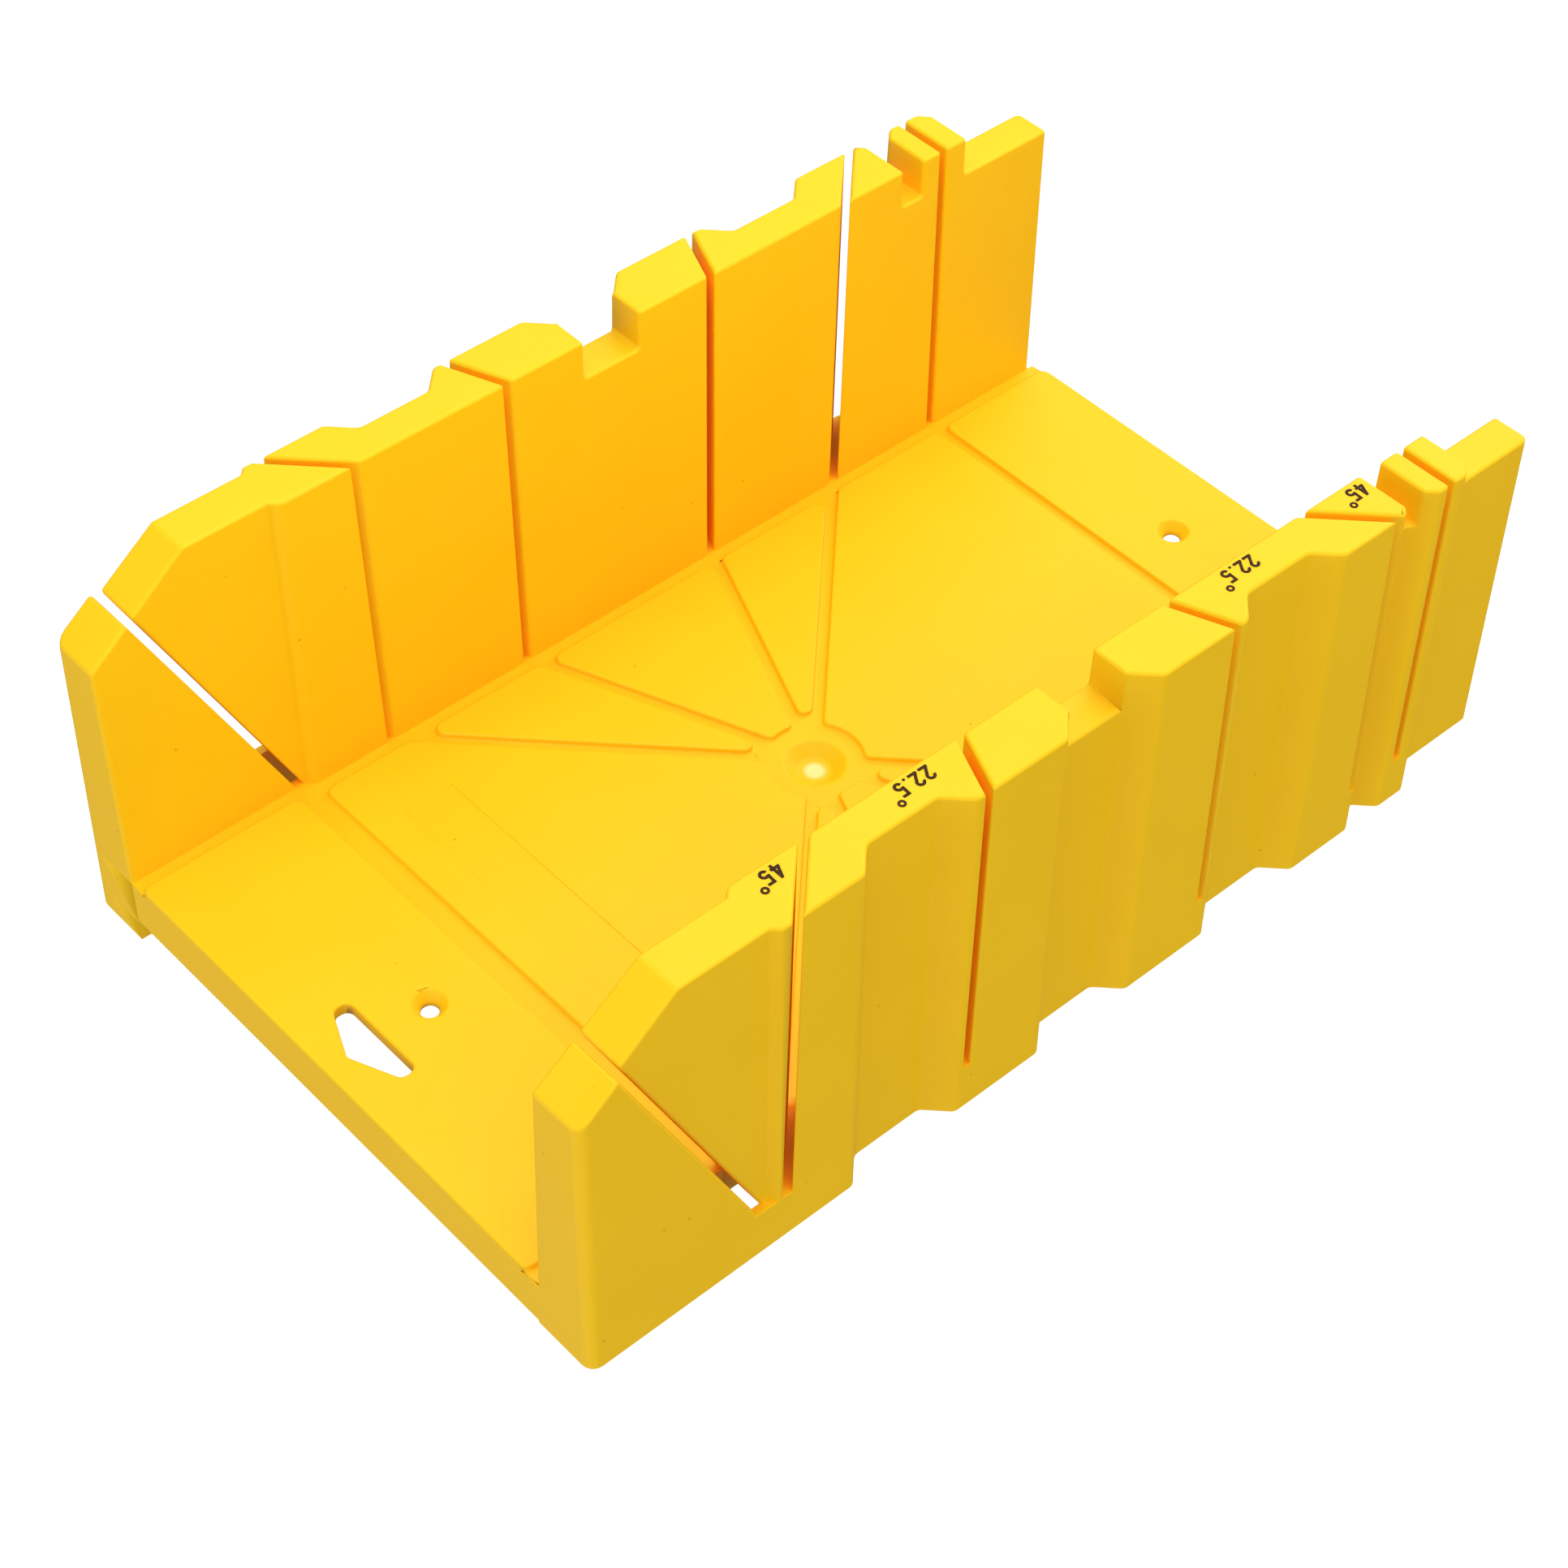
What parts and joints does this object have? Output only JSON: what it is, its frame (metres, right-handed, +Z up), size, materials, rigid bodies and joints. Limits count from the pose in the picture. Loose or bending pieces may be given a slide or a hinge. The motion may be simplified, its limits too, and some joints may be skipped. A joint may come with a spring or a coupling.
{
  "type": "mitre box",
  "caption": "Moulded plastic mitre box: raised floor with screw holes and hanging hole between two corrugated fence walls with mitre, square and bevel saw slots.",
  "frame": {"origin": "centre of the footprint, at the underside of the bench lip", "axes": "+X along the workpiece towards the square slot, +Y towards the operator's side with the bench lip, +Z up out of the trough"},
  "size_m": [0.3, 0.1881, 0.1099],
  "materials": {
    "yellow_abs": "satin moulded ABS",
    "black_ink": "matte pad-printed ink"
  },
  "bodies": {
    "root": {"floor": "yellow_abs", "skirt_left": "yellow_abs", "skirt_right": "yellow_abs", "sill_rear": "yellow_abs", "sill_front": "yellow_abs", "bench_lip": "yellow_abs", "rear_end_left": "yellow_abs", "rear_bevel": "yellow_abs", "rear_mitre_left": "yellow_abs", "rear_centre": "yellow_abs", "rear_mitre_right": "yellow_abs", "rear_square": "yellow_abs", "rear_end_right": "yellow_abs", "front_end_left": "yellow_abs", "front_bevel": "yellow_abs", "front_mitre_left": "yellow_abs", "front_centre": "yellow_abs", "front_mitre_right": "yellow_abs", "front_square": "yellow_abs", "front_end_right": "yellow_abs", "mark_45_left": "black_ink", "mark_22_left": "black_ink", "mark_22_right": "black_ink", "mark_45_right": "black_ink"}
  },
  "joints": []
}
